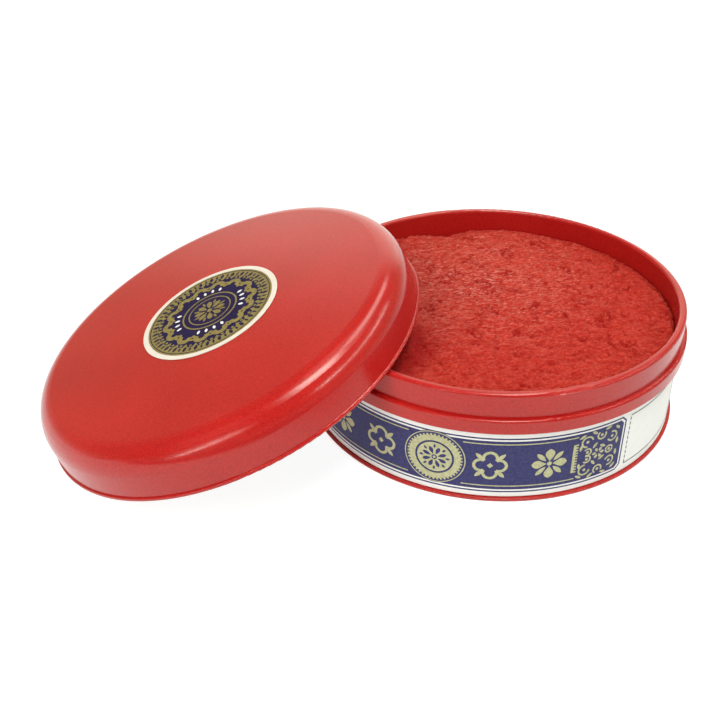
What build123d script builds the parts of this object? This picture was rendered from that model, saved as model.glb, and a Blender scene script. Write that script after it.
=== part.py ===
from build123d import *
import math
import os

# Seal paste box: a round moulded case filled with kneaded paste, with a paper
# label round its side and a moulded lid with a round paper label. The lid is
# off, as it lies in use: its low edge is on the table and its skirt leans on
# the case's rim. Lengths are in millimetres and angles in degrees. The case
# stands on z = 0 about the Z axis, and the lid lies towards -X.

# Case: one moulding with a foot, a recessed panel for the label, a shoulder
# that carries the closed lid, and a neck that the lid slips over.
shoulder_radius = 62.5
shoulder_height = 4.7
shoulder_round = 0.7
foot_inset = 0.6
foot_height = 1.3
foot_round = 0.8
panel_recess = 1.9
panel_round = 0.3
ledge_height = 30.4
ledge_width = 1.35
neck_height = 8.1
lip_round = 0.9
case_wall = 2.5
case_floor = 2.4
well_round = 3.0
well_draft = 0.4

# Paste: it fills the well to a little below the lip, with a low crown.
paste_drop = 7.5
paste_crown = 1.2
paste_edge_width = 1.4
paste_edge_round = 0.8
paste_clearance = 0.2

# Paper labels: a strip round the panel, its ends apart at the back, and a disc
# on the lid's crown.
paper_thickness = 0.15
glue_gap = 0.1
band_margin = 0.25
band_seam = 1.2
lid_label_radius = 23.3

# Lid: a thin shell with a low crown, a soft corner, a drafted skirt and a bead
# round its edge.
lid_overhang = 2.0
lid_clearance = 0.35
lid_top_wall = 1.8
skirt_height = 8.6
skirt_draft = 3.5
skirt_inner_round = 0.3
bead_height = 1.3
bead_width = 0.6
bead_step_round = 0.5
bead_round = 0.55
corner_run = 6.9
corner_rise = 7.7
crown_rise = 0.6

# Resting place of the lid: its inner edge crosses the rim at two points, each
# this far round from the edge's highest point, and stands this far above it.
touch_turn = 42.5
rest_gap = 0.3

# Sizes of the case that follow
rim_height = ledge_height + neck_height
neck_radius = shoulder_radius - ledge_width
well_radius = neck_radius - case_wall
well_slope = math.tan(math.radians(well_draft))
well_floor_radius = well_radius - (rim_height - case_floor) * well_slope
panel_radius = shoulder_radius - panel_recess
foot_radius = shoulder_radius - foot_inset
shoulder_underside = ledge_height - shoulder_height

# Case
with BuildPart() as base_case:
    with BuildSketch(Plane.XZ):
        with BuildLine():
            FilletPolyline(
                (0, 0),
                (foot_radius, 0),
                (foot_radius, foot_height),
                (panel_radius, foot_height),
                (panel_radius, shoulder_underside),
                (shoulder_radius, shoulder_underside),
                (shoulder_radius, ledge_height),
                (neck_radius, ledge_height),
                (neck_radius, rim_height),
                (well_radius, rim_height),
                (well_floor_radius, case_floor),
                (0, case_floor),
                radius=[
                    foot_round,
                    panel_round,
                    0,
                    0,
                    panel_round,
                    shoulder_round,
                    0,
                    lip_round,
                    lip_round,
                    well_round,
                ],
            )
            Line((0, case_floor), (0, 0))
        make_face()
    revolve(axis=Axis.Z)
base_case.part.label = "base_case"

# Paste: its side and bottom follow the well at the clearance. A sloped edge
# rises from the wall to the crown.
paste_edge_height = rim_height - paste_drop
paste_bottom = case_floor + paste_clearance
paste_bottom_radius = well_floor_radius - paste_clearance
paste_side_radius = paste_bottom_radius + (paste_edge_height - case_floor) * well_slope
paste_crown_radius = paste_side_radius - paste_edge_width
paste_crown_arc = (paste_crown_radius**2 + paste_crown**2) / (2 * paste_crown)
paste_crown_turn = math.degrees(math.asin(paste_crown_radius / paste_crown_arc))
paste_top = paste_edge_height + paste_crown

with BuildPart() as seal_paste:
    with BuildSketch(Plane.XZ):
        with BuildLine():
            FilletPolyline(
                (0, paste_bottom),
                (paste_bottom_radius, paste_bottom),
                (paste_side_radius, paste_edge_height),
                (paste_crown_radius, paste_edge_height),
                radius=[well_round, paste_edge_round],
            )
            CenterArc(
                (0, paste_top - paste_crown_arc),
                paste_crown_arc,
                90 - paste_crown_turn,
                paste_crown_turn,
            )
            Line((0, paste_top), (0, paste_bottom))
        make_face()
    revolve(axis=Axis.Z)
seal_paste.part.label = "seal_paste"

# Band label: a strip of paper round the panel, its seam at +Y
band_inner_radius = panel_radius + glue_gap
band_bottom = foot_height + band_margin
band_top = shoulder_underside - band_margin
seam_turn = math.degrees(band_seam / band_inner_radius)
seam_side = math.radians(90 + seam_turn / 2)
seam_plane = Plane(
    origin=(0, 0, 0),
    x_dir=(math.cos(seam_side), math.sin(seam_side), 0),
    z_dir=(math.sin(seam_side), -math.cos(seam_side), 0),
)

with BuildPart() as band_label:
    with BuildSketch(seam_plane):
        with Locations((band_inner_radius, band_bottom)):
            Rectangle(paper_thickness, band_top - band_bottom, align=(Align.MIN, Align.MIN))
    revolve(axis=Axis.Z, revolution_arc=360 - seam_turn)
band_label.part.label = "band_label"

# Lid's section: radius from its own axis along X, height above its edge along Y
lid_edge_radius = shoulder_radius + lid_overhang
skirt_inner_radius = neck_radius + lid_clearance
skirt_foot_radius = lid_edge_radius - bead_width
skirt_slope = math.tan(math.radians(skirt_draft))
skirt_top_radius = skirt_foot_radius - (skirt_height - bead_height) * skirt_slope
crown_radius = skirt_top_radius - corner_run
crown_arc = (crown_radius**2 + crown_rise**2) / (2 * crown_rise)
crown_turn = math.asin(crown_radius / crown_arc)
crown_edge_height = skirt_height + corner_rise
crown_centre = crown_edge_height + crown_rise - crown_arc

# Each face of the lid turns its corner in two arcs, with one tangent where
# they meet.
def corner_arcs(start, start_way, end, end_way):
    span = end - start
    bend = 2 * (1 - start_way.dot(end_way))
    reach = 2 * span.dot(start_way + end_way)
    pull = (math.sqrt(reach**2 + 4 * bend * span.dot(span)) - reach) / (2 * bend)
    low = start + start_way * pull
    high = end - end_way * pull
    middle = (low + high) / 2
    TangentArc(start, middle, tangent=start_way)
    TangentArc(middle, end, tangent=high - low)


# The outer corner leaves the skirt at its draft, and the inner one rises
# straight. Both meet the slope of the crown's edge.
upward = Vector(0, 1)
skirt_way = Vector(-skirt_slope, 1).normalized()
crown_way = Vector(-math.cos(crown_turn), math.sin(crown_turn))
skirt_top = Vector(skirt_top_radius, skirt_height)
crown_edge = Vector(crown_radius, crown_edge_height)
inner_skirt_top = Vector(skirt_inner_radius, skirt_height)
inner_crown_arc = crown_arc - lid_top_wall
inner_crown_edge = Vector(
    inner_crown_arc * math.sin(crown_turn),
    crown_centre + inner_crown_arc * math.cos(crown_turn),
)

# Where the lid lies: the bead's low side is on z = 0, and the inner edge
# crosses the highest circle of the lip at the touch turn. Both fix the lean.
touch_radius = skirt_inner_radius + skirt_inner_round
lip_crest_radius = neck_radius - lip_round
bead_centre_radius = lid_edge_radius - bead_round
touch_along = touch_radius * math.cos(math.radians(touch_turn))
touch_across = touch_radius * math.sin(math.radians(touch_turn))
climb_run = bead_centre_radius + touch_along
climb_rise = rim_height + rest_gap - bead_round
lean = math.asin(climb_rise / math.hypot(climb_run, bead_round)) + math.atan2(bead_round, climb_run)
lid_centre_height = bead_centre_radius * math.sin(lean) + bead_round * (1 - math.cos(lean))
lid_reach = touch_along * math.cos(lean) + math.sqrt(lip_crest_radius**2 - touch_across**2)

lid_centre = (-lid_reach, 0, lid_centre_height)
lid_axis = Axis(lid_centre, (-math.sin(lean), 0, math.cos(lean)))
lid_plane = Plane(origin=lid_centre, x_dir=(math.cos(lean), 0, math.sin(lean)), z_dir=(0, -1, 0))
crown_turn_degrees = math.degrees(crown_turn)

# Lid
with BuildPart() as lid_shell:
    with BuildSketch(lid_plane):
        with BuildLine():
            FilletPolyline(
                (skirt_inner_radius, skirt_height),
                (skirt_inner_radius, 0),
                (lid_edge_radius, 0),
                (lid_edge_radius, bead_height),
                (skirt_foot_radius, bead_height),
                (skirt_top_radius, skirt_height),
                radius=[skirt_inner_round, bead_round, bead_step_round, 0],
            )
            corner_arcs(skirt_top, skirt_way, crown_edge, crown_way)
            CenterArc((0, crown_centre), crown_arc, 90 - crown_turn_degrees, crown_turn_degrees)
            Line((0, crown_centre + crown_arc), (0, crown_centre + inner_crown_arc))
            CenterArc((0, crown_centre), inner_crown_arc, 90 - crown_turn_degrees, crown_turn_degrees)
            corner_arcs(inner_skirt_top, upward, inner_crown_edge, crown_way)
        make_face()
    revolve(axis=lid_axis)
lid_shell.part.label = "lid_shell"

# Lid label: a disc of paper that follows the crown
label_back_arc = crown_arc + glue_gap
label_face_arc = label_back_arc + paper_thickness
label_turn = math.asin(lid_label_radius / label_face_arc)
label_turn_degrees = math.degrees(label_turn)
label_back_edge = (
    label_back_arc * math.sin(label_turn),
    crown_centre + label_back_arc * math.cos(label_turn),
)
label_face_edge = (
    label_face_arc * math.sin(label_turn),
    crown_centre + label_face_arc * math.cos(label_turn),
)

with BuildPart() as lid_label:
    with BuildSketch(lid_plane):
        with BuildLine():
            CenterArc((0, crown_centre), label_back_arc, 90 - label_turn_degrees, label_turn_degrees)
            Line(label_back_edge, label_face_edge)
            CenterArc((0, crown_centre), label_face_arc, 90 - label_turn_degrees, label_turn_degrees)
            Line((0, crown_centre + label_face_arc), (0, crown_centre + label_back_arc))
        make_face()
    revolve(axis=lid_axis)
lid_label.part.label = "lid_label"

os.makedirs("parts", exist_ok=True)
export_step(base_case.part, "parts/base_case.step")
export_step(seal_paste.part, "parts/seal_paste.step")
export_step(band_label.part, "parts/band_label.step")
export_step(lid_shell.part, "parts/lid_shell.step")
export_step(lid_label.part, "parts/lid_label.step")
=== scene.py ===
import math
import bpy
from mathutils import Matrix, Vector


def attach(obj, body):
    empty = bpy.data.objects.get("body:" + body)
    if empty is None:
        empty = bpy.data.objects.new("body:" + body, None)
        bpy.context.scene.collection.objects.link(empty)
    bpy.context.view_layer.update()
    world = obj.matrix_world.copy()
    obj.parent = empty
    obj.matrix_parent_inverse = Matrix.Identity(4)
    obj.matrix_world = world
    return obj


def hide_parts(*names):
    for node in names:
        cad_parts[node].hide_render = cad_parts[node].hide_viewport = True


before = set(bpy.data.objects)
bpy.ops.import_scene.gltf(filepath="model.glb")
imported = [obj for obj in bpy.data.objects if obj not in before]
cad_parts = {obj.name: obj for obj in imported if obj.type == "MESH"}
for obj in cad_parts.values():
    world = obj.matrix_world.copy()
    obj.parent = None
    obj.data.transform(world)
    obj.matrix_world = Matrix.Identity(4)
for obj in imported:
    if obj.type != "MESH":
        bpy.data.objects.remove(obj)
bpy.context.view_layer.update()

MM = 0.001

# Sizes of the CAD solids that print and paste follow, in millimetres. The
# paste's radii are a hair smaller, so that its net stays inside the solid.
PAPER_RADIUS = 60.85
LID_LEAN = math.radians(20.7302)
LID_CENTRE = (-86.052, 0.0, 22.672)
CROWN_ARC = 2665.55
CROWN_TOP = 16.9
LABEL_LIFT = 0.25
PASTE_BOTTOM = 2.6
PASTE_BOTTOM_RADIUS = 58.18
PASTE_SIDE_RADIUS = 58.38
PASTE_EDGE = 31.0
PASTE_TOP = 32.2

# Height of the middle of the band's print, from the fit to the photograph
PRINT_MIDDLE = 13.15


# Colours and nodes
def srgb(code):
    """A colour in linear light from its six-digit hex code."""
    channels = [int(code[i:i + 2], 16) / 255 for i in (0, 2, 4)]
    linear = [c / 12.92 if c <= 0.04045 else ((c + 0.055) / 1.055) ** 2.4 for c in channels]
    return (*linear, 1.0)


def add(tree, kind, settings=None, **links):
    """One node with its settings and its inputs, each a value or another node's output.
    An input goes by its name, or by its number as i0, i1 and so on."""
    node = tree.nodes.new(kind)
    for key, value in (settings or {}).items():
        setattr(node, key, value)
    for name, value in links.items():
        numbered = name[0] == "i" and name[1:].isdigit()
        socket = node.inputs[int(name[1:])] if numbered else node.inputs[name.replace("_", " ")]
        if isinstance(value, bpy.types.NodeSocket):
            tree.links.new(value, socket)
        else:
            socket.default_value = value
    return node


def maths(tree, operation, *values):
    """The result of one sum, its operation in Blender's words."""
    links = {"i%d" % k: value for k, value in enumerate(values)}
    return add(tree, "ShaderNodeMath", {"operation": operation}, **links).outputs[0]


def noise(tree, place, size, detail, **more):
    """Cloudy noise whose clouds are about a size across."""
    return add(tree, "ShaderNodeTexNoise", Vector=place, Scale=1 / size, Detail=detail, **more).outputs["Fac"]


def spread(tree, value, low, high, new_low, new_high, soft=False):
    """A value moved from one range to another, evenly or with soft ends."""
    settings = {"interpolation_type": "SMOOTHSTEP"} if soft else None
    node = add(tree, "ShaderNodeMapRange", settings, Value=value, i1=low, i2=high, i3=new_low, i4=new_high)
    return node.outputs["Result"]


def ramp(tree, share, *stops):
    """A run of colours through stops, each a position and a colour."""
    node = add(tree, "ShaderNodeValToRGB", Fac=share)
    elements = node.color_ramp.elements
    for element, (position, colour) in zip(elements, (stops[0], stops[-1])):
        element.position = position
        element.color = colour
    for position, colour in stops[1:-1]:
        elements.new(position).color = colour
    return node.outputs["Color"]


def mix(tree, share, first, second):
    node = add(tree, "ShaderNodeMix", {"data_type": "RGBA"}, Factor=share, A=first, B=second)
    return node.outputs["Result"]


def vector_value(tree, operation, *vectors):
    """The number that one vector operation gives."""
    links = {"i%d" % k: vector for k, vector in enumerate(vectors)}
    return add(tree, "ShaderNodeVectorMath", {"operation": operation}, **links).outputs["Value"]


def finish(name, colour, roughness, **more):
    """A material with its shader's even values set."""
    made = bpy.data.materials.new(name)
    made.use_nodes = True
    tree = made.node_tree
    tree.nodes.clear()
    shader = add(tree, "ShaderNodeBsdfPrincipled", Base_Color=srgb(colour), Roughness=roughness, **more)
    add(tree, "ShaderNodeOutputMaterial", Surface=shader.outputs["BSDF"])
    return made, tree, shader


def object_place(tree):
    """Places on the object itself, so that a pattern moves with it."""
    return add(tree, "ShaderNodeTexCoord").outputs["Object"]


def roughen(tree, shader, height, strength, depth):
    """Fine relief on a shader."""
    bump = add(tree, "ShaderNodeBump", Height=height, Strength=strength, Distance=depth)
    tree.links.new(bump.outputs["Normal"], shader.inputs["Normal"])


# Objects, and meshes grown by Geometry Nodes
def new_object(name, data):
    made = bpy.data.objects.new(name, data)
    bpy.context.scene.collection.objects.link(made)
    return made


def shape_tree(name, sizes):
    """An empty Geometry Nodes tree with its named inputs."""
    tree = bpy.data.node_groups.new(name, "GeometryNodeTree")
    tree.interface.new_socket("Geometry", in_out="INPUT", socket_type="NodeSocketGeometry")
    for label, kind in sizes:
        tree.interface.new_socket(label, in_out="INPUT", socket_type="NodeSocket" + kind)
    tree.interface.new_socket("Geometry", in_out="OUTPUT", socket_type="NodeSocketGeometry")
    return tree, tree.nodes.new("NodeGroupInput").outputs, tree.nodes.new("NodeGroupOutput").inputs


def grow(name, start, tree, sizes):
    """The plain mesh that a tree makes from a start mesh."""
    source = new_object(name, start)
    modifier = source.modifiers.new("shape", "NODES")
    modifier.node_group = tree
    for item in tree.interface.items_tree:
        if item.in_out == "INPUT" and item.name in sizes:
            modifier[item.identifier] = sizes[item.name]
    graph = bpy.context.evaluated_depsgraph_get()
    mesh = bpy.data.meshes.new_from_object(source.evaluated_get(graph))
    bpy.data.objects.remove(source)
    return mesh


# Camera: its place, turn and lens come from the fit to the photograph.
CAMERA_MM = (-80.564, -260.806, 189.416)
YAW = 0.13774
PITCH = 0.58647
ROLL = -0.01811
LENS_MM = 47.0
SENSOR_MM = 36.0

ahead = Vector((math.sin(YAW) * math.cos(PITCH), math.cos(YAW) * math.cos(PITCH), -math.sin(PITCH)))
level = Vector((math.cos(YAW), -math.sin(YAW), 0))
upward = level.cross(ahead)
across = math.cos(ROLL) * level + math.sin(ROLL) * upward
above = -math.sin(ROLL) * level + math.cos(ROLL) * upward
camera = new_object("camera", bpy.data.cameras.new("camera"))
camera.data.lens = LENS_MM
camera.data.sensor_width = SENSOR_MM
camera_turn = Matrix((across, above, -ahead)).transposed().to_4x4()
camera.matrix_world = Matrix.Translation(Vector(CAMERA_MM) * MM) @ camera_turn
bpy.context.scene.camera = camera

# Moulded polypropylene, red all through: an even satin skin with the fine
# grain of the mould's steel, and a slow change of tone where pigment settled.
plastic, tree, shader = finish("moulded_red_polypropylene", "AC1917", 0.25, IOR=1.49,
                               Specular_Tint=(1.0, 1.0, 0.9, 1.0))
place = object_place(tree)
slow = noise(tree, place, 30 * MM, 1.0)
speck = noise(tree, place, 0.5 * MM, 2.0)
settled = maths(tree, "MULTIPLY_ADD", slow, 0.3, speck)
red = ramp(tree, settled, (0.5, srgb("971314")), (0.8, srgb("AD1C18")))
tree.links.new(red, shader.inputs["Base Color"])
satin = spread(tree, slow, 0.3, 0.7, 0.18, 0.2)
tree.links.new(satin, shader.inputs["Roughness"])
roughen(tree, shader, speck, 0.15, 0.05 * MM)


def label_paper(name, dull, bright):
    """Coated label paper: a little uneven, with a fine tooth that keeps it matt."""
    made, tree, shader = finish(name, bright, 0.75, Specular_IOR_Level=0.25)
    place = object_place(tree)
    cloud = noise(tree, place, 3 * MM, 4.0)
    white = ramp(tree, cloud, (0.3, srgb(dull)), (0.7, srgb(bright)))
    tree.links.new(white, shader.inputs["Base Color"])
    tooth = noise(tree, place, 0.25 * MM, 2.0)
    roughen(tree, shader, tooth, 0.15, 0.02 * MM)
    return made


def ink(name, colour, darker, roughness, sheen=0.25):
    """Offset printing ink: flat, a little blotched where the paper took less of it."""
    made, tree, shader = finish(name, colour, roughness, Specular_IOR_Level=sheen)
    place = object_place(tree)
    blotch = noise(tree, place, 0.8 * MM, 3.0)
    uneven = ramp(tree, blotch, (0.35, srgb(darker)), (0.62, srgb(colour)))
    tree.links.new(uneven, shader.inputs["Base Color"])
    roughen(tree, shader, blotch, 0.1, 0.02 * MM)
    return made


band_paper = label_paper("coated_band_paper", "DEDEDA", "E2E1DD")
lid_paper = label_paper("coated_lid_paper", "C8BFB2", "CEC6B9")
navy = ink("navy_offset_ink", "383662", "2D2B55", 0.6)
dark_navy = ink("dark_navy_offset_ink", "251C40", "1B1431", 0.7, sheen=0.08)
pale_gold = ink("pale_gold_offset_ink", "B3B18A", "A09E77", 0.6)
olive_gold = ink("olive_gold_offset_ink", "83743A", "6B5E2D", 0.5)
white_ink = ink("white_offset_ink", "E6E4E2", "D2D0D2", 0.45)
line_ink = ink("grey_green_offset_ink", "66746C", "57645D", 0.6)

# Flat shapes for the prints, in millimetres, each its points and its faces.
# Long sides are split, so that they bend round the case. A leaf's sides follow
# a sine wave, and a power below 1 makes them fuller.
LONGEST_SIDE = 2.0
LEAF_POWER = 0.8


def ring(inner, outer, parts, first=0.0, turn=2 * math.pi):
    """A ring, or part of one that starts at an angle and turns by another."""
    closed = turn >= 2 * math.pi
    stations = parts if closed else parts + 1
    points = []
    faces = []
    for i in range(stations):
        angle = first + turn * i / parts
        points.append((inner * math.cos(angle), inner * math.sin(angle)))
        points.append((outer * math.cos(angle), outer * math.sin(angle)))
    for i in range(parts):
        j = (i + 1) % stations
        faces.append((2 * i, 2 * i + 1, 2 * j + 1, 2 * j))
    return points, faces


def disc(radius, parts, rings):
    points = [(0.0, 0.0)]
    faces = []
    for k in range(1, rings + 1):
        for i in range(parts):
            angle = 2 * math.pi * i / parts
            points.append((radius * k / rings * math.cos(angle), radius * k / rings * math.sin(angle)))
    for i in range(parts):
        j = (i + 1) % parts
        faces.append((0, 1 + i, 1 + j))
        for k in range(rings - 1):
            low = 1 + k * parts
            faces.append((low + i, low + parts + i, low + parts + j, low + j))
    return points, faces


def leaf(start, end, width, widest=0.5, parts=8):
    """A leaf along x, widest at a share of its length."""
    lean = math.log(0.5) / math.log(widest)
    points = [(start, 0.0)]
    for i in range(1, parts):
        share = i / parts
        half = width / 2 * math.sin(math.pi * share ** lean) ** LEAF_POWER
        x = start + (end - start) * share
        points += [(x, -half), (x, half)]
    points.append((end, 0.0))
    faces = [(0, 1, 2)]
    for i in range(parts - 2):
        a = 1 + 2 * i
        faces.append((a, a + 2, a + 3, a + 1))
    last = len(points) - 1
    faces.append((last - 2, last, last - 1))
    return points, faces


def bar(left, right, low, high, longest=LONGEST_SIDE):
    parts = max(1, math.ceil((right - left) / longest))
    points = []
    for i in range(parts + 1):
        x = left + (right - left) * i / parts
        points += [(x, low), (x, high)]
    return points, [(2 * i, 2 * i + 2, 2 * i + 3, 2 * i + 1) for i in range(parts)]


def panel(left, right, low, high, corner):
    """A plate with its corners cut off."""
    points, faces = bar(left + corner, right - corner, low, high)
    n = len(points)
    ends = [(left, low + corner), (left, high - corner), (right, low + corner), (right, high - corner)]
    return points + ends, faces + [(n, 0, 1, n + 1), (n - 2, n + 2, n + 3, n - 1)]


def frame_line(left, right, low, high, corner, width):
    """A line round a plate with its corners cut off."""
    inner_corner = corner - width * (2 - math.sqrt(2))
    length = right - left - 2 * corner
    parts = max(1, math.ceil(length / LONGEST_SIDE))
    points = []
    for inset, cut in ((0.0, corner), (width, inner_corner)):
        x0 = left + inset
        x1 = right - inset
        y0 = low + inset
        y1 = high - inset
        along = [left + corner + length * i / parts for i in range(parts + 1)]
        along[0] = x0 + cut
        along[-1] = x1 - cut
        points += [(x, y0) for x in along] + [(x1, y0 + cut), (x1, y1 - cut)]
        points += [(x, y1) for x in reversed(along)] + [(x0, y1 - cut), (x0, y0 + cut)]
    n = len(points) // 2
    return points, [(i, (i + 1) % n, n + (i + 1) % n, n + i) for i in range(n)]


def put(shape, x=0.0, y=0.0, turn=0.0):
    """A shape turned, then moved."""
    c = math.cos(turn)
    s = math.sin(turn)
    return [(x + c * a - s * b, y + s * a + c * b) for a, b in shape[0]], shape[1]


def mirrored(shape):
    """A shape turned over about x, its faces still upward."""
    return [(x, -y) for x, y in shape[0]], [face[::-1] for face in shape[1]]


def flat_mesh(shapes):
    points = []
    faces = []
    for outline, sides in shapes:
        first = len(points)
        points += [(x, y, 0.0) for x, y in outline]
        faces += [tuple(first + i for i in side) for side in sides]
    mesh = bpy.data.meshes.new("print_start")
    mesh.from_pydata(points, [], faces)
    return mesh


# One layer of print: its shapes are repeated round a centre, get the ink's
# thickness and are laid on the paper, round the case or on the lid's crown.
PRINT_SIZES = (("Count", "Int"), ("Turn", "Float"), ("Centre X", "Float"), ("Centre Y", "Float"),
               ("Back", "Float"), ("Face", "Float"), ("Ink", "Material"))
WELD_GAP = 0.002


def print_tree(name, lay):
    """The tree of one layer of print, with the function that lays it on its paper."""
    tree, given, out = shape_tree(name, PRINT_SIZES)
    many = add(tree, "GeometryNodePoints", Count=given["Count"])
    index = add(tree, "GeometryNodeInputIndex").outputs["Index"]
    part = maths(tree, "DIVIDE", index, given["Count"])
    turn = maths(tree, "MULTIPLY_ADD", part, 2 * math.pi, given["Turn"])
    turning = add(tree, "ShaderNodeCombineXYZ", Z=turn)
    repeated = add(tree, "GeometryNodeInstanceOnPoints", Points=many.outputs[0], Instance=given["Geometry"],
                   Rotation=turning.outputs[0])
    real = add(tree, "GeometryNodeRealizeInstances", Geometry=repeated.outputs[0])
    centre = add(tree, "ShaderNodeCombineXYZ", X=given["Centre X"], Y=given["Centre Y"], Z=given["Back"])
    moved = add(tree, "GeometryNodeSetPosition", Geometry=real.outputs[0], Offset=centre.outputs[0])
    depth = maths(tree, "SUBTRACT", given["Face"], given["Back"])
    lift = add(tree, "ShaderNodeCombineXYZ", Z=depth)
    thick = add(tree, "GeometryNodeExtrudeMesh", {"mode": "FACES"}, Mesh=moved.outputs[0],
                Offset=lift.outputs[0], Offset_Scale=1.0, Individual=False)
    back = add(tree, "GeometryNodeFlipFaces", Mesh=moved.outputs[0])
    both = add(tree, "GeometryNodeJoinGeometry")
    tree.links.new(thick.outputs["Mesh"], both.inputs[0])
    tree.links.new(back.outputs[0], both.inputs[0])
    closed = add(tree, "GeometryNodeMergeByDistance", Geometry=both.outputs[0], Distance=WELD_GAP)
    laid = lay(tree, closed.outputs[0])
    whole = add(tree, "GeometryNodeRealizeInstances", Geometry=laid)
    inked = add(tree, "GeometryNodeSetMaterial", Geometry=whole.outputs[0], Material=given["Ink"])
    tree.links.new(inked.outputs[0], out["Geometry"])
    return tree


def own_spot(tree):
    """The X, Y and Z of each point."""
    where = add(tree, "GeometryNodeInputPosition").outputs[0]
    return add(tree, "ShaderNodeSeparateXYZ", i0=where).outputs


def lay_round_case(tree, geometry):
    """x runs round the paper, y is the height and z stands off it."""
    spot = own_spot(tree)
    angle = maths(tree, "DIVIDE", spot["X"], PAPER_RADIUS)
    far = maths(tree, "ADD", spot["Z"], PAPER_RADIUS)
    x = maths(tree, "MULTIPLY", maths(tree, "COSINE", angle), far)
    y = maths(tree, "MULTIPLY", maths(tree, "SINE", angle), far)
    rolled = add(tree, "ShaderNodeCombineXYZ", X=x, Y=y, Z=spot["Y"])
    placed = add(tree, "GeometryNodeSetPosition", Geometry=geometry, Position=rolled.outputs[0])
    return add(tree, "GeometryNodeTransform", Geometry=placed.outputs[0], Scale=(MM, MM, MM)).outputs[0]


def lay_on_lid(tree, geometry):
    """x and y lie on the crown, y towards the back, and z stands off it."""
    spot = own_spot(tree)
    x_squared = maths(tree, "MULTIPLY", spot["X"], spot["X"])
    far_squared = maths(tree, "MULTIPLY_ADD", spot["Y"], spot["Y"], x_squared)
    fall = maths(tree, "DIVIDE", far_squared, -2 * CROWN_ARC)
    stand = maths(tree, "ADD", fall, spot["Z"])
    height = maths(tree, "ADD", stand, CROWN_TOP + LABEL_LIFT)
    bowed = add(tree, "ShaderNodeCombineXYZ", X=spot["X"], Y=spot["Y"], Z=height)
    placed = add(tree, "GeometryNodeSetPosition", Geometry=geometry, Position=bowed.outputs[0])
    centre = tuple(v * MM for v in LID_CENTRE)
    return add(tree, "GeometryNodeTransform", Geometry=placed.outputs[0], Translation=centre,
               Rotation=(0.0, -LID_LEAN, 0.0), Scale=(MM, MM, MM)).outputs[0]


# Ink lies at three levels, each with its back and its face off the paper.
FIRST_INK = (-0.05, 0.03)
SECOND_INK = (-0.02, 0.055)
THIRD_INK = (0.0, 0.08)


def layer(shapes, level, count=1, turn=0.0, x=0.0, y=0.0, raised=0.0):
    """Shapes at one level of ink, repeated round a centre. One that crosses another
    at its own level is raised by a few thousandths of a millimetre."""
    back, face = level
    return shapes, count, turn, x, y, back, face + raised


def print_piece(name, tree, layers, ink_used, body):
    """One piece of print from its layers."""
    points = []
    faces = []
    for shapes, count, turn, x, y, back, face in layers:
        values = {"Count": count, "Turn": turn, "Centre X": x, "Centre Y": y, "Back": back, "Face": face,
                  "Ink": ink_used}
        mesh = grow(name, flat_mesh(shapes), tree, values)
        first = len(points)
        points += [tuple(v.co) for v in mesh.vertices]
        faces += [tuple(first + i for i in f.vertices) for f in mesh.polygons]
        bpy.data.meshes.remove(mesh)
    whole = bpy.data.meshes.new(name)
    whole.from_pydata(points, [], faces)
    whole.materials.append(ink_used)
    piece = new_object(name, whole)
    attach(piece, body)


# Band print, on the paper strip round the case. x is measured round the paper
# from +X, so that the front is near -90 degrees.
def round_at(degrees):
    return math.radians(degrees) * PAPER_RADIUS


case_print = print_tree("print_round_case", lay_round_case)
lid_print = print_tree("print_on_lid", lay_on_lid)

# Where things are round the band. Those in pairs stand on both sides of the
# medal, the right one first.
FIELD_HALF = 10.0
MEDAL_RAISE = 0.4
left_end = round_at(-176.3)
right_end = round_at(-64.1)
field_low = PRINT_MIDDLE - FIELD_HALF
field_high = PRINT_MIDDLE + FIELD_HALF
end_spots = (round_at(-73.9), round_at(-166.5))
flower_spots = (round_at(-88.2), round_at(-152.0))
quatrefoil_spots = (round_at(-104.5), round_at(-136.6))
medal_x = round_at(-119.9)
medal_y = PRINT_MIDDLE + MEDAL_RAISE


def medal_layer(shapes, level, count=1, turn=0.0, raised=0.0):
    return layer(shapes, level, count, turn, medal_x, medal_y, raised)


def motif(shapes, x, count=1, turn=0.0, raised=0.0):
    return layer(shapes, SECOND_INK, count, turn, x, PRINT_MIDDLE, raised)


# The long panel and the line round it
PANEL_INSET = 1.1
panel_shapes = [
    frame_line(left_end, right_end, field_low, field_high, corner=1.7, width=0.5),
    panel(left_end + PANEL_INSET, right_end - PANEL_INSET, field_low + PANEL_INSET,
          field_high - PANEL_INSET, corner=1.2),
]

# Medal: a dark ground, then a dark ring, rosette and eye on its gold
navy_layers = [
    layer(panel_shapes, FIRST_INK),
    medal_layer([disc(9.5, 72, 4)], FIRST_INK, raised=0.006),
    medal_layer([ring(5.45, 5.75, 72)], THIRD_INK),
    medal_layer([leaf(1.1, 3.9, 1.25, 0.6)], THIRD_INK, 8, math.pi / 8),
    medal_layer([leaf(3.3, 4.7, 0.7)], THIRD_INK, 8),
    medal_layer([ring(0.45, 0.85, 24)], THIRD_INK),
]
gold_layers = [
    medal_layer([ring(9.0, 9.3, 96)], SECOND_INK),
    medal_layer([ring(5.95, 7.9, 96), disc(5.3, 48, 2)], SECOND_INK),
    medal_layer([bar(7.85, 8.45, -0.3, 0.3, 0.6)], SECOND_INK, 44, raised=0.004),
]

# Thin gold lines between the medal and the end pieces
END_PIECE_WIDTH = 17.2
MEDAL_ROOM = 8.2
HALF_GOLD_LINE = 0.18
LOW_LINE_INSET = 2.4
HIGH_LINE_INSET = 2.2
for y in (field_low + LOW_LINE_INSET, field_high - HIGH_LINE_INSET):
    for start, end in ((left_end + END_PIECE_WIDTH, medal_x - MEDAL_ROOM),
                       (medal_x + MEDAL_ROOM, right_end - END_PIECE_WIDTH)):
        gold_layers.append(layer([bar(start, end, y - HALF_GOLD_LINE, y + HALF_GOLD_LINE)], SECOND_INK))

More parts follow.
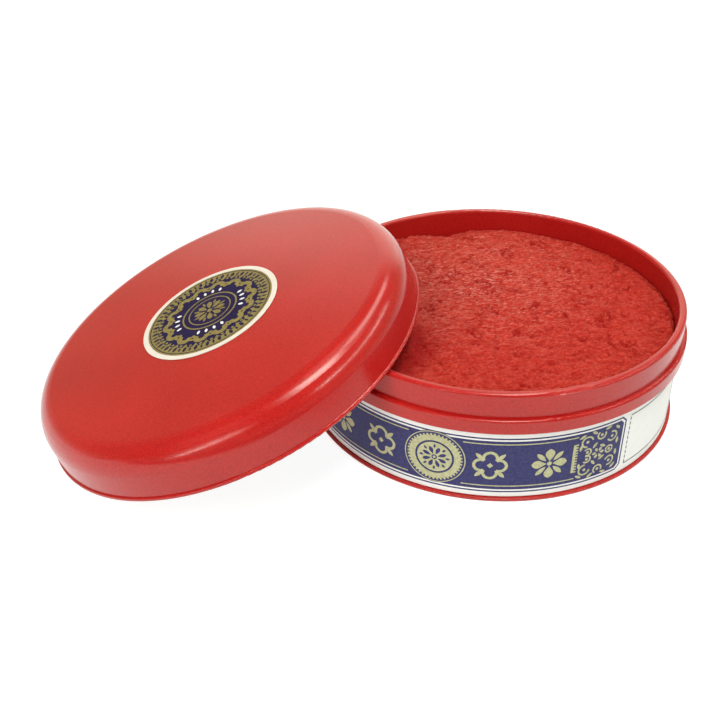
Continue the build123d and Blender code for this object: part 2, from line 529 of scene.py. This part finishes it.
# Flowers with eight petals, then quatrefoils with a leaf in each corner
for x in flower_spots:
    gold_layers += [
        motif([leaf(0.9, 5.4, 2.9, 0.62)], x, 4),
        motif([leaf(1.5, 5.6, 1.5, 0.55)], x, 4, math.pi / 4, raised=0.004),
        motif([disc(0.75, 20, 1)], x),
    ]
lobe = put(ring(1.55, 2.45, 20, -0.65 * math.pi, 1.3 * math.pi), 2.7, 0)
for x in quatrefoil_spots:
    gold_layers += [
        motif([lobe], x, 4),
        motif([leaf(3.2, 6.1, 1.3, 0.45)], x, 4, math.pi / 4, raised=0.004),
        motif([put(bar(-0.65, 0.65, -0.65, 0.65, 0.7), turn=math.pi / 4)], x),
    ]

# End pieces: a comb, then scrolls and leaves alike above and below a flower.
# A scroll has its middle, radius and first angle, a leaf its middle and turn.
SCROLLS = ((-3.6, 5.2, 2.1, 0.2), (1.2, 6.4, 1.7, 2.2), (5.2, 4.6, 1.9, 3.6), (4.6, 0.0, 1.5, 1.6),
           (-3.2, 1.3, 1.5, 4.2))
SCROLL_LEAVES = ((-5.4, 7.4, 0.5), (-1.4, 8.0, -0.6), (3.4, 8.2, 0.3), (7.0, 7.2, 2.4), (7.4, 2.2, 1.5),
                 (-0.8, 3.2, 0.9), (2.0, 2.2, -0.5), (-5.6, 3.4, 1.4))
SCROLL_WIDTH = 0.55
SCROLL_TURN = 1.45 * math.pi
FLOWER_SHIFT = 0.6
scrolls = []
for side in (1, -1):
    for x, y, radius, first in SCROLLS:
        curl = ring(radius - SCROLL_WIDTH, radius, 16, first, SCROLL_TURN)
        scrolls.append(put(curl if side == 1 else mirrored(curl), x, y * side))
        scrolls.append(put(disc(0.5, 12, 1), x, y * side))
    for x, y, turn in SCROLL_LEAVES:
        scrolls.append(put(leaf(-1.2, 1.2, 0.95, parts=6), x, y * side, turn * side))
for x, facing, flower_shift in zip(end_spots, (0.0, math.pi), (FLOWER_SHIFT, -FLOWER_SHIFT)):
    comb = [put(bar(-8.1, -7.2, -5.2, 5.2, 0.9), turn=facing)]
    comb += [put(bar(-7.2, -6.5, k - 0.25, k + 0.25, 0.7), turn=facing) for k in range(-5, 6)]
    gold_layers += [
        motif(comb, x),
        motif(scrolls, x, 1, facing, raised=0.004),
        motif([leaf(0.5, 2.1, 1.0, 0.6, 6)], x + flower_shift, 6, raised=0.008),
    ]

# The bare box right of the panel, its left side dashed
BOX_HALF = 9.1
BOX_GAP = 1.9
HALF_LINE = 0.21
DASHES = 10
DASH_STEP = 1.8
DASH_START = -8.9
DASH_END = -7.7
box_left = right_end + BOX_GAP
box_right = round_at(-34.0)
box_low = PRINT_MIDDLE - BOX_HALF
box_high = PRINT_MIDDLE + BOX_HALF
box_lines = [bar(box_left, box_right, y - HALF_LINE, y + HALF_LINE) for y in (box_low, box_high)]
for k in range(DASHES):
    dash_low = PRINT_MIDDLE + DASH_START + k * DASH_STEP
    dash_high = PRINT_MIDDLE + DASH_END + k * DASH_STEP
    box_lines.append(bar(box_left - HALF_LINE, box_left + HALF_LINE, dash_low, dash_high))
box_lines.append(bar(box_right - HALF_LINE, box_right + HALF_LINE, box_low, box_high))

print_piece("band_print_navy", case_print, navy_layers, navy, "box")
print_piece("band_print_gold", case_print, gold_layers, pale_gold, "box")
print_piece("band_print_lines", case_print, [layer(box_lines, FIRST_INK)], line_ink, "box")

# Lid print, from its edge inward: rings with a wreath of leaves, a garland of
# scallops, white lozenges, two thin rings and a rosette
LEAVES = 30
SCALLOPS = 14
PETALS = 8
half_scallop = math.pi / SCALLOPS
lid_navy_layers = [
    layer([disc(21.3, 96, 6)], FIRST_INK),
    layer([leaf(17.7, 20.3, 1.2, parts=6)], THIRD_INK, LEAVES, 0.05),
    layer([leaf(18.3, 20.2, 0.75, 0.4, 6)], THIRD_INK, LEAVES, 0.155, raised=0.004),
    layer([ring(20.6, 20.9, 120)], THIRD_INK),
    layer([put(leaf(-1.0, 1.0, 0.6, parts=6), 15.4, 0, math.pi / 2)], THIRD_INK, SCALLOPS, half_scallop),
]
scallop = put(ring(1.0, 2.75, 18, -0.62 * math.pi, 1.24 * math.pi), 13.7, 0)
cross_leaf = put(leaf(-1.3, 1.3, 0.9, parts=6), 14.6, 0, math.pi / 2)
lid_gold_layers = [
    layer([ring(18.1, 21.5, 120)], SECOND_INK),
    layer([leaf(16.5, 19.4, 1.9, 0.6)], SECOND_INK, LEAVES, 0.02, raised=0.004),
    layer([put(disc(0.5, 10, 1), 17.3, 0)], SECOND_INK, LEAVES, 0.125, raised=0.002),
    layer([scallop], SECOND_INK, SCALLOPS),
    layer([put(disc(0.62, 12, 1), 13.0, 0)], SECOND_INK, SCALLOPS, half_scallop),
    layer([cross_leaf], SECOND_INK, SCALLOPS, half_scallop, raised=0.002),
    layer([ring(8.95, 9.5, 96), ring(6.95, 7.35, 84)], SECOND_INK),
    layer([leaf(1.2, 5.3, 1.9, 0.62)], SECOND_INK, PETALS),
    layer([leaf(3.6, 5.9, 0.8, parts=6)], SECOND_INK, PETALS, math.pi / 8, raised=0.003),
    layer([disc(0.9, 20, 1)], SECOND_INK),
]
lozenge = put(leaf(-0.95, 0.95, 1.0, parts=6), 11.3, 0)
lid_white_layers = [layer([lozenge], THIRD_INK, 4, turn) for turn in (-0.36, -0.12, 0.12, 0.36)]
print_piece("lid_print_navy", lid_print, lid_navy_layers, dark_navy, "lid")
print_piece("lid_print_gold", lid_print, lid_gold_layers, olive_gold, "lid")
print_piece("lid_print_white", lid_print, lid_white_layers, white_ink, "lid")

# Paste: an oily mass kneaded with plant fibre. Its skin is matt and crumbly,
# with pits, short cracks and paler strands.
PASTE_STEP = 0.46
PASTE_RINGS = math.ceil(PASTE_SIDE_RADIUS / PASTE_STEP)

# In the start mesh, the height of a point says where it belongs, and these two
# heights tell the top and the bottom from the side.
ON_TOP = 1.0
ON_SIDE = -1.0
ON_BOTTOM = -2.0
TOP_IS_ABOVE = 0.5
BOTTOM_IS_BELOW = -1.5


def round_points(radius, count, mark):
    turns = [2 * math.pi * i / count for i in range(count)]
    return [(radius * math.cos(turn), radius * math.sin(turn), mark) for turn in turns]


def paste_start():
    """A closed body with an even net of triangles on top."""
    points = [(0.0, 0.0, ON_TOP)]
    rows = [[0]]
    for k in range(1, PASTE_RINGS + 1):
        rows.append([len(points) + i for i in range(6 * k)])
        points += round_points(PASTE_SIDE_RADIUS * k / PASTE_RINGS, 6 * k, ON_TOP)
    faces = []
    for k in range(1, PASTE_RINGS + 1):
        inner = rows[k - 1]
        outer = rows[k]
        for side in range(6):
            for i in range(k):
                a = outer[side * k + i]
                b = outer[(side * k + i + 1) % (6 * k)]
                c = inner[(side * (k - 1) + i) % max(1, 6 * (k - 1))]
                faces.append((a, b, c))
                if i < k - 1:
                    faces.append((b, inner[(side * (k - 1) + i + 1) % (6 * (k - 1))], c))
    upper = rows[-1]
    n = len(upper)
    for radius, mark in ((PASTE_SIDE_RADIUS, ON_SIDE), (PASTE_BOTTOM_RADIUS, ON_BOTTOM)):
        lower = [len(points) + i for i in range(n)]
        points += round_points(radius, n, mark)
        faces += [(upper[i], lower[i], lower[(i + 1) % n], upper[(i + 1) % n]) for i in range(n)]
        upper = lower
    middle = len(points)
    points.append((0.0, 0.0, ON_BOTTOM))
    faces += [(upper[(i + 1) % n], upper[i], middle) for i in range(n)]
    mesh = bpy.data.meshes.new("paste_start")
    mesh.from_pydata(points, [], faces)
    return mesh


# Shape of the top: a low crown that falls at the wall, with a scoop taken out
# at the back. Lumps, crumbs, grains and fibres stand on it, and pits and
# cracks go into it.
RIM_FALL = -0.4
RIM_FALL_WIDTH = 1.4
SCOOP_SPOT = (-3.0, 58.0, 0.0)
SCOOP_DEPTH = -1.9
SCOOP_FLOOR = 2.0
SCOOP_REACH = 13.0
SIDE_HEIGHT = PASTE_EDGE - 4.0
FIBRE_STRETCH = (0.5, 1.0, 1.0)
PASTE_SIZES = (("Edge Height", "Float"), ("Crown", "Float"), ("Radius", "Float"), ("Lump", "Float"),
               ("Crumb", "Float"), ("Grain", "Float"), ("Fibre", "Float"), ("Pit Depth", "Float"),
               ("Crack Depth", "Float"), ("Skin", "Material"))

paste_tree, given, out = shape_tree("kneaded_top", PASTE_SIZES)
tree = paste_tree
spot = own_spot(tree)
flat_spot = add(tree, "ShaderNodeCombineXYZ", X=spot["X"], Y=spot["Y"]).outputs[0]
from_middle = vector_value(tree, "LENGTH", flat_spot)
share = maths(tree, "DIVIDE", from_middle, given["Radius"])
bow = maths(tree, "SUBTRACT", 1.0, maths(tree, "MULTIPLY", share, share))
rim_fall = spread(tree, from_middle, PASTE_SIDE_RADIUS - RIM_FALL_WIDTH, PASTE_SIDE_RADIUS, 0.0, RIM_FALL,
                  soft=True)
lump = noise(tree, flat_spot, 15, 2.0, Roughness=0.5)
crumb = noise(tree, flat_spot, 2.9, 3.0, Roughness=0.65)
grain = noise(tree, flat_spot, 1.3, 1.0, Roughness=0.6)
long_spot = add(tree, "ShaderNodeVectorMath", {"operation": "MULTIPLY"}, i0=flat_spot,
                i1=FIBRE_STRETCH).outputs[0]
fibre = noise(tree, long_spot, 1.9, 2.0, Roughness=0.6, Distortion=0.6)

# Pits open where one noise is low. Cracks run where another crosses its
# middle, and only in the places that a third picks.
pit_noise = noise(tree, flat_spot, 1.7, 2.0, Roughness=0.55, Distortion=0.8)
pit = spread(tree, pit_noise, 0.37, 0.28, 0.0, 1.0, soft=True)
crack_noise = noise(tree, flat_spot, 16, 4.0, Roughness=0.62, Distortion=0.5)
crack_far = maths(tree, "ABSOLUTE", maths(tree, "SUBTRACT", crack_noise, 0.5))
crack_line = spread(tree, crack_far, 0.018, 0.003, 0.0, 1.0, soft=True)
crack_here = spread(tree, noise(tree, flat_spot, 9, 2.0), 0.47, 0.54, 0.0, 1.0)
crack = maths(tree, "MULTIPLY", crack_line, crack_here)

height = maths(tree, "MULTIPLY_ADD", bow, given["Crown"], given["Edge Height"])
for relief, size in ((lump, "Lump"), (crumb, "Crumb"), (grain, "Grain"), (fibre, "Fibre")):
    centred = maths(tree, "SUBTRACT", relief, 0.5)
    height = maths(tree, "MULTIPLY_ADD", centred, given[size], height)
height = maths(tree, "ADD", height, rim_fall)
scoop_far = vector_value(tree, "DISTANCE", flat_spot, SCOOP_SPOT)
scoop = spread(tree, scoop_far, SCOOP_FLOOR, SCOOP_REACH, SCOOP_DEPTH, 0.0, soft=True)
height = maths(tree, "ADD", height, scoop)
for sunk, size in ((pit, "Pit Depth"), (crack, "Crack Depth")):
    height = maths(tree, "SUBTRACT", height, maths(tree, "MULTIPLY", sunk, given[size]))

is_top = add(tree, "FunctionNodeCompare", {"data_type": "FLOAT", "operation": "GREATER_THAN"},
             i0=spot["Z"], i1=TOP_IS_ABOVE)
is_bottom = add(tree, "FunctionNodeCompare", {"data_type": "FLOAT", "operation": "LESS_THAN"},
                i0=spot["Z"], i1=BOTTOM_IS_BELOW)
low_height = add(tree, "GeometryNodeSwitch", {"input_type": "FLOAT"}, Switch=is_bottom.outputs[0],
                 i1=SIDE_HEIGHT, i2=PASTE_BOTTOM)
new_height = add(tree, "GeometryNodeSwitch", {"input_type": "FLOAT"}, Switch=is_top.outputs[0],
                 i1=low_height.outputs[0], i2=height)
new_spot = add(tree, "ShaderNodeCombineXYZ", X=spot["X"], Y=spot["Y"], Z=new_height.outputs[0]).outputs[0]

# Two attributes tell the material where the pits and cracks are, and where the crumb stands up,
# so that it paints shade into the hollows and low places.
hollow_shade = maths(tree, "MAXIMUM", pit, crack)
ridge = maths(tree, "MULTIPLY", crumb, 0.35)
ridge = maths(tree, "MULTIPLY_ADD", grain, 0.25, ridge)
ridge = maths(tree, "MULTIPLY_ADD", fibre, 0.4, ridge)
marked = given["Geometry"]
for label, value in (("hollow_shade", hollow_shade), ("ridge", ridge)):
    marked = add(tree, "GeometryNodeStoreNamedAttribute", {"data_type": "FLOAT", "domain": "POINT"},
                 Geometry=marked, Name=label, Value=value).outputs[0]
shaped = add(tree, "GeometryNodeSetPosition", Geometry=marked, Position=new_spot)
sized = add(tree, "GeometryNodeTransform", Geometry=shaped.outputs[0], Scale=(MM, MM, MM))
smooth = add(tree, "GeometryNodeSetShadeSmooth", Geometry=sized.outputs[0], Shade_Smooth=True)
real = add(tree, "GeometryNodeRealizeInstances", Geometry=smooth.outputs[0])
skinned = add(tree, "GeometryNodeSetMaterial", Geometry=real.outputs[0], Material=given["Skin"])
tree.links.new(skinned.outputs[0], out["Geometry"])

# Look of the paste: mottled red, with pale strands and patches strongest behind the middle;
# their fall-off towards the front and the lid is partly painted shade. Painted shadow of the lid
# lies beside it, with painted shade in the hollows and low places. Pale strands of fibre run two
# ways, each way a noise drawn out along it.
PALE_AND_LIT_SPOT = (0.0, 22 * MM, 32 * MM)
LID_SHADOW_SPOT = (-45 * MM, -18 * MM, 32 * MM)
STRAND_STRETCH = (1.0, 5.0, 1.0)
skin, tree, shader = finish("kneaded_seal_paste", "B02A1E", 0.75, Specular_IOR_Level=0.12)
place = object_place(tree)
patch = noise(tree, place, 22 * MM, 3.0)
mottle = noise(tree, place, 0.9 * MM, 5.0, Roughness=0.7)
strands = []
for turn, size in ((0.25, 2.2 * MM), (-0.7, 2.0 * MM)):
    drawn = add(tree, "ShaderNodeMapping", Vector=place, Rotation=(0, 0, turn), Scale=STRAND_STRETCH)
    strands.append(noise(tree, drawn.outputs[0], size, 3.0, Distortion=0.4))
strand = maths(tree, "MAXIMUM", *strands)
colour = ramp(tree, mottle, (0.4, srgb("A01A10")), (0.5, srgb("AE2B1F")), (0.62, srgb("BE3C2E")))
# Pale strands and patches, strongest behind the middle; their fall-off towards the front and beside the lid
# is partly painted shade.
pale_and_lit = spread(tree, vector_value(tree, "DISTANCE", place, PALE_AND_LIT_SPOT), 8 * MM, 52 * MM, 1.0, 0.15)
strand_share = maths(tree, "MULTIPLY", spread(tree, strand, 0.54, 0.67, 0.0, 0.85), pale_and_lit)
colour = mix(tree, strand_share, colour, srgb("DA9080"))
patch_share = maths(tree, "MULTIPLY", spread(tree, patch, 0.35, 0.68, 0.1, 0.6), pale_and_lit)
colour = mix(tree, patch_share, colour, srgb("C04838"))
# Painted shade in the pits and cracks, towards 900F0B.
hollow_shade = add(tree, "ShaderNodeAttribute", {"attribute_name": "hollow_shade"}).outputs["Fac"]
colour = mix(tree, hollow_shade, colour, srgb("900F0B"))
# Painted shade where the relief is low, towards 95150E.
ridge = add(tree, "ShaderNodeAttribute", {"attribute_name": "ridge"}).outputs["Fac"]
low_place_shade = spread(tree, ridge, 0.4, 0.52, 0.7, 0.0)
colour = mix(tree, low_place_shade, colour, srgb("95150E"))
# Painted shadow of the lid: the paste beside it is darkened towards 980A0A.
lid_shadow_far = vector_value(tree, "DISTANCE", place, LID_SHADOW_SPOT)
lid_shadow_share = spread(tree, lid_shadow_far, 16 * MM, 24 * MM, 0.8, 0.0, soft=True)
colour = mix(tree, lid_shadow_share, colour, srgb("980A0A"))
tree.links.new(colour, shader.inputs["Base Color"])
fine = noise(tree, place, 0.5 * MM, 3.0)
roughen(tree, shader, maths(tree, "MULTIPLY_ADD", strand, 0.8, fine), 1.0, 0.6 * MM)

# The top starts a little above the solid's edge and has a little less crown.
EDGE_RAISE = 0.15
CROWN_LOSS = 0.3
paste_sizes = {
    "Edge Height": PASTE_EDGE + EDGE_RAISE,
    "Crown": PASTE_TOP - PASTE_EDGE - CROWN_LOSS,
    "Radius": PASTE_SIDE_RADIUS,
    "Lump": 2.0,
    "Crumb": 1.5,
    "Grain": 1.1,
    "Fibre": 1.0,
    "Pit Depth": 0.6,
    "Crack Depth": 0.8,
    "Skin": skin,
}
paste_mesh = grow("kneaded_paste", paste_start(), paste_tree, paste_sizes)
paste_mesh.name = "kneaded_paste"
paste = new_object("kneaded_paste", paste_mesh)
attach(paste, "box")
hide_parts("seal_paste")

# CAD solids that are shown as they are
for node, made in (("base_case", plastic), ("lid_shell", plastic), ("band_label", band_paper),
                   ("lid_label", lid_paper)):
    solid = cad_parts[node]
    solid.data.materials.clear()
    solid.data.materials.append(made)


def flat_board(name, left, right, near, far, height, material):
    """A level rectangle, in metres."""
    corners = [(left, near, height), (right, near, height), (right, far, height), (left, far, height)]
    mesh = bpy.data.meshes.new(name)
    mesh.from_pydata(corners, [], [(0, 1, 2, 3)])
    mesh.materials.append(material)
    return new_object(name, mesh)


# Light table: an opal board lit from below as well, so that shadows are faint
board, tree, shader = finish("opal_table_board", "ACACAC", 0.6)
cloud = noise(tree, object_place(tree), 300 * MM, 2.0)
opal = ramp(tree, cloud, (0.0, srgb("929292")), (1.0, srgb("969696")))
tree.links.new(opal, shader.inputs["Base Color"])
shader.inputs["Emission Color"].default_value = (0.84, 0.89, 0.885, 1)
shader.inputs["Emission Strength"].default_value = 1.0
FLOOR_HALF = 3.0
floor = flat_board("floor", -FLOOR_HALF, FLOOR_HALF, -FLOOR_HALF, FLOOR_HALF, 0, board)

# A dark card on the table towards the camera. Only mirrored light sees it, so
# that the soft corners of the plastic get their dark edge.
CARD_LIFT = 0.5 * MM
card_black = finish("black_card", "101010", 0.8)[0]
card = flat_board("dark_card", -1.5, 1.5, -1.2, -0.16, CARD_LIFT, card_black)
card.visible_camera = False
card.visible_diffuse = False
card.visible_shadow = False

# World: the room is brightest low at the back and right, and dark behind the
# camera. A window at the back gives the plastic its pale sheen.
SIDE_WAY = (0.1, 0.3, 0.0)
EVEN_STRENGTH = 0.7
WINDOW_WAY = (0.2, 0.97, 0.15)
WINDOW_LIGHT = (1.75, 1.7, 1.5, 1)
bpy.context.scene.view_settings.view_transform = "Standard"
world = bpy.data.worlds.new("studio")
bpy.context.scene.world = world
world.use_nodes = True
tree = world.node_tree
background = tree.nodes["Background"]
way = add(tree, "ShaderNodeTexCoord").outputs["Generated"]
upness = add(tree, "ShaderNodeSeparateXYZ", i0=way).outputs["Z"]
glow = ramp(tree, upness, (0.0, (1.0, 0.97, 0.88, 1)), (0.22, (0.47, 0.45, 0.31, 1)),
            (0.6, (0.4, 0.38, 0.27, 1)), (1.0, (0.3, 0.28, 0.2, 1)))
strength = maths(tree, "ADD", vector_value(tree, "DOT_PRODUCT", way, SIDE_WAY), EVEN_STRENGTH)
window = vector_value(tree, "DOT_PRODUCT", way, WINDOW_WAY)
window_share = spread(tree, window, 0.81, 0.93, 0.0, 1.0, soft=True)
tree.links.new(mix(tree, window_share, glow, WINDOW_LIGHT), background.inputs["Color"])
tree.links.new(strength, background.inputs["Strength"])

# Lamps. The core, rim and halo overhead lie one behind another, and so do the
# three strips at the left, so that their highlights fade at the edge.
LAMP_AIM = (-60, -30, 40)


def lamp(name, way, far_mm, size_mm, radiance, along):
    """An even rectangle of light that faces the box, its long side in a direction."""
    back = Vector(way).normalized()
    data = bpy.data.lights.new(name, "AREA")
    data.shape = "RECTANGLE"
    data.size = size_mm[0] * MM
    data.size_y = size_mm[1] * MM
    data.energy = radiance * math.pi * data.size * data.size_y
    made = new_object(name, data)
    long_way = (Vector(along) - back * back.dot(Vector(along))).normalized()
    turn = Matrix((long_way, back.cross(long_way), back)).transposed().to_4x4()
    made.matrix_world = Matrix.Translation(Vector(LAMP_AIM) * MM + back * far_mm * MM) @ turn
    return made


LEFT_STRIP_WAY = (-0.5, -0.81, 0.25)
LEFT_STRIP_ALONG = (0.56, -0.13, 0.34)
lamp("overhead_softbox", (0.2, -0.05, 0.97), 900, (700, 700), 1.0, (1, 0, 0))
lamp("overhead_core", (0.15, -0.3, 0.93), 880, (300, 220), 9.0, (1, 0.85, 0))
lamp("overhead_rim", (0.14, -0.3, 0.93), 890, (400, 250), 2.6, (1, 0.85, 0))
lamp("overhead_halo", (0.12, -0.3, 0.93), 900, (520, 320), 2.6, (1, 0.85, 0))
lamp("overhead_long", (0.36, 0.3, 0.86), 900, (640, 210), 4.6, (0.1, 0.6, -0.25))
lamp("right_strip", (0.82, -0.1, 0.53), 1000, (760, 36), 16.0, (0.05, 0.8, 0.0))
lamp("front_right_strip", (0.61, -0.62, 0.47), 900, (300, 30), 28.0, (0.19, 0.29, 0.05))
lamp("left_strip", LEFT_STRIP_WAY, 880, (480, 24), 18.0, LEFT_STRIP_ALONG)
lamp("left_strip_ends", LEFT_STRIP_WAY, 890, (640, 22), 7.0, LEFT_STRIP_ALONG)
lamp("left_strip_tips", LEFT_STRIP_WAY, 900, (800, 20), 4.0, LEFT_STRIP_ALONG)
fill = lamp("front_fill", (-0.6, -0.42, 0.68), 900, (500, 500), 6.6, (1, 0, 0))
fill.visible_glossy = False
